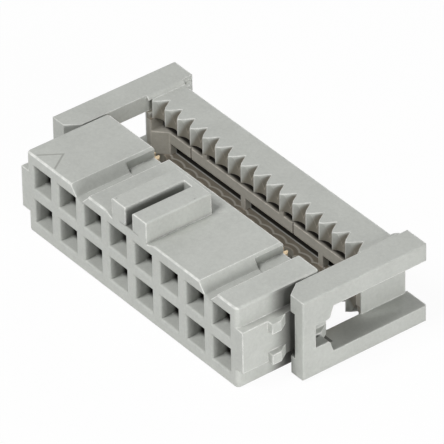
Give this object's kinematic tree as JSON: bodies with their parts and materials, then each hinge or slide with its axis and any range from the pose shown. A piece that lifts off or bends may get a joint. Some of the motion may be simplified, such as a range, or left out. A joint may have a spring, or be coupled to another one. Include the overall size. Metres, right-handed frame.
{
  "type": "ribbon cable connector socket",
  "caption": "Insulation-displacement socket for flat ribbon cable, with a keyed two-row pin face and a latching comb cover raised ready for the cable.",
  "frame": {"origin": "centre of the mating face, midway between the two contact rows", "axes": "+X along the contact rows, +Y from the mating face towards the cable side, +Z towards the keyed side"},
  "size_m": [0.0248, 0.0129, 0.0073],
  "materials": {
    "housing_plastic": "matt moulded grey",
    "cover_plastic": "matt moulded grey",
    "contact_metal": "satin, gold over copper alloy"
  },
  "bodies": {
    "housing_body": {"housing": "housing_plastic", "contact_upper_1": "contact_metal", "contact_upper_2": "contact_metal", "contact_upper_3": "contact_metal", "contact_upper_4": "contact_metal", "contact_upper_5": "contact_metal", "contact_upper_6": "contact_metal", "contact_upper_7": "contact_metal", "contact_upper_8": "contact_metal", "contact_lower_1": "contact_metal", "contact_lower_2": "contact_metal", "contact_lower_3": "contact_metal", "contact_lower_4": "contact_metal", "contact_lower_5": "contact_metal", "contact_lower_6": "contact_metal", "contact_lower_7": "contact_metal", "contact_lower_8": "contact_metal"},
    "cover_body": {"cover": "cover_plastic"}
  },
  "joints": [
    {"name": "cover_press", "type": "slide", "parent": "housing_body", "child": "cover_body", "axis": [0, -1, 0], "range_m": [0, 0.0025]}
  ]
}
